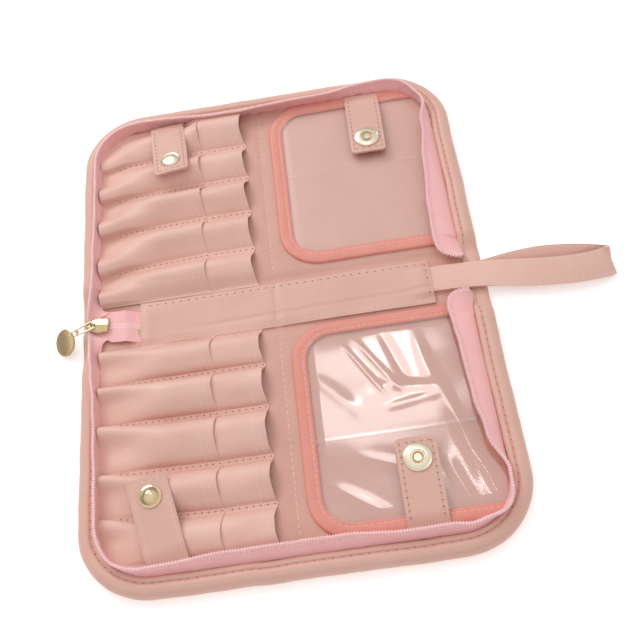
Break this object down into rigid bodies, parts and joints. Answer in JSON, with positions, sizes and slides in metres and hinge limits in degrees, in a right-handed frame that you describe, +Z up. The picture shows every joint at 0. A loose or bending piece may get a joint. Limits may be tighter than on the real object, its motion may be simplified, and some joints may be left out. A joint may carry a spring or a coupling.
{
  "type": "travel jewelry case",
  "caption": "Zip-around travel jewelry case lying open flat: two padded halves on a soft spine, slotted sleeves, clear bound pockets, snap flaps and a wrist strap.",
  "frame": {"origin": "under the middle of the spine, on the surface the open case lies on", "axes": "+X along the spine towards the wrist strap, +Y across the spine towards the upper half, +Z up"},
  "size_m": [0.2997, 0.2952, 0.0155],
  "materials": {
    "leather": "dusty pink PU leather, fine grain, low sheen",
    "coral_binding": "coral PU binding, smooth, soft sheen",
    "zip_tape": "woven polyester tape, pink",
    "zip_coil": "nylon coil, pink",
    "clear_sheet": "clear soft PVC, glossy, slightly wavy",
    "board": "stiffener board",
    "foam": "soft foam",
    "gold": "light champagne gold plate, polished"
  },
  "bodies": {
    "lower_half": {"lower_cover": "leather", "lower_rim_padding": "foam", "lower_board": "board", "lower_foam": "foam", "lower_lining": "leather", "lower_slot_sleeve": "leather", "lower_slot_band": "leather", "lower_pocket_binding": "coral_binding", "lower_pocket_top_sheet": "clear_sheet", "lower_pocket_under_sheet": "clear_sheet", "lower_zip_tape": "zip_tape", "lower_zip_coil": "zip_coil"},
    "spine": {"spine_cover": "leather", "spine_board": "board", "spine_lining": "leather", "spine_strip": "leather", "spine_zip_tape": "zip_tape", "spine_zip_coil": "zip_coil"},
    "upper_half": {"upper_cover": "leather", "upper_rim_padding": "foam", "upper_board": "board", "upper_foam": "foam", "upper_lining": "leather", "upper_slot_sleeve": "leather", "upper_slot_band": "leather", "upper_pocket_binding": "coral_binding", "upper_pocket_top_sheet": "clear_sheet", "upper_pocket_under_sheet": "clear_sheet", "upper_zip_tape": "zip_tape", "upper_zip_coil": "zip_coil"},
    "lower_left_flap": {"lower_left_tab": "leather", "lower_left_snap_cap": "gold", "lower_left_snap_socket": "gold"},
    "lower_right_flap": {"lower_right_tab": "leather", "lower_right_snap_stud": "gold", "lower_right_snap_rivet": "gold"},
    "upper_left_flap": {"upper_left_tab": "leather", "upper_left_snap_cap": "gold", "upper_left_snap_socket": "gold"},
    "upper_right_flap": {"upper_right_tab": "leather", "upper_right_snap_stud": "gold", "upper_right_snap_rivet": "gold"},
    "strap": {"wrist_strap": "leather"},
    "slider": {"slider_body": "gold"},
    "pull_link": {"puller_link": "gold"},
    "pull_disc": {"puller_ring": "gold", "puller_disc": "gold"}
  },
  "joints": [
    {"name": "spine_fold", "type": "hinge", "parent": "lower_half", "child": "spine", "pos_m": [0, -0.015, 0.001], "axis": [1, 0, 0], "range_deg": [0, 90]},
    {"name": "cover_fold", "type": "hinge", "parent": "spine", "child": "upper_half", "pos_m": [0, 0.015, 0.001], "axis": [1, 0, 0], "range_deg": [0, 90]},
    {"name": "lower_left_flap_lift", "type": "hinge", "parent": "lower_half", "child": "lower_left_flap", "pos_m": [-0.0653, -0.13143, 0.0106], "axis": [-0.9781, -0.2079, 0], "range_deg": [-90, 0], "stiffness_Nm_per_rad": 0.01, "springref_deg": 22.92},
    {"name": "lower_right_flap_lift", "type": "hinge", "parent": "lower_half", "child": "lower_right_flap", "pos_m": [0.0578, -0.13121, 0.0089], "axis": [-1, 0, 0], "range_deg": [-90, 0], "stiffness_Nm_per_rad": 0.01, "springref_deg": 22.92},
    {"name": "upper_left_flap_lift", "type": "hinge", "parent": "upper_half", "child": "upper_left_flap", "pos_m": [-0.0582, 0.13155, 0.0106], "axis": [0.9962, 0.0872, 0], "range_deg": [-90, 0], "stiffness_Nm_per_rad": 0.01, "springref_deg": 22.92},
    {"name": "upper_right_flap_lift", "type": "hinge", "parent": "upper_half", "child": "upper_right_flap", "pos_m": [0.0609, 0.13281, 0.0089], "axis": [0.9999, -0.014, 0], "range_deg": [-90, 0], "stiffness_Nm_per_rad": 0.01, "springref_deg": 22.92},
    {"name": "strap_lift", "type": "hinge", "parent": "spine", "child": "strap", "pos_m": [0.083, 0.0004, 0.0056], "axis": [0, 1, 0], "range_deg": [-90, 0]},
    {"name": "slider_travel", "type": "slide", "parent": "spine", "child": "slider", "axis": [0.9945, -0.1045, 0], "range_m": [0, 0.005]},
    {"name": "pull_link_swing", "type": "hinge", "parent": "slider", "child": "pull_link", "pos_m": [-0.10288, 0.00193, 0.00905], "axis": [0.3478, -0.9376, 0], "range_deg": [-110, 0]},
    {"name": "pull_disc_swing", "type": "hinge", "parent": "pull_link", "child": "pull_disc", "pos_m": [-0.11188, -0.00141, 0.0089], "axis": [0.3478, -0.9376, 0], "range_deg": [-70, 0]}
  ],
  "couplings": [
    {"joint": "cover_fold", "follows": "spine_fold", "ratio": 1}
  ]
}
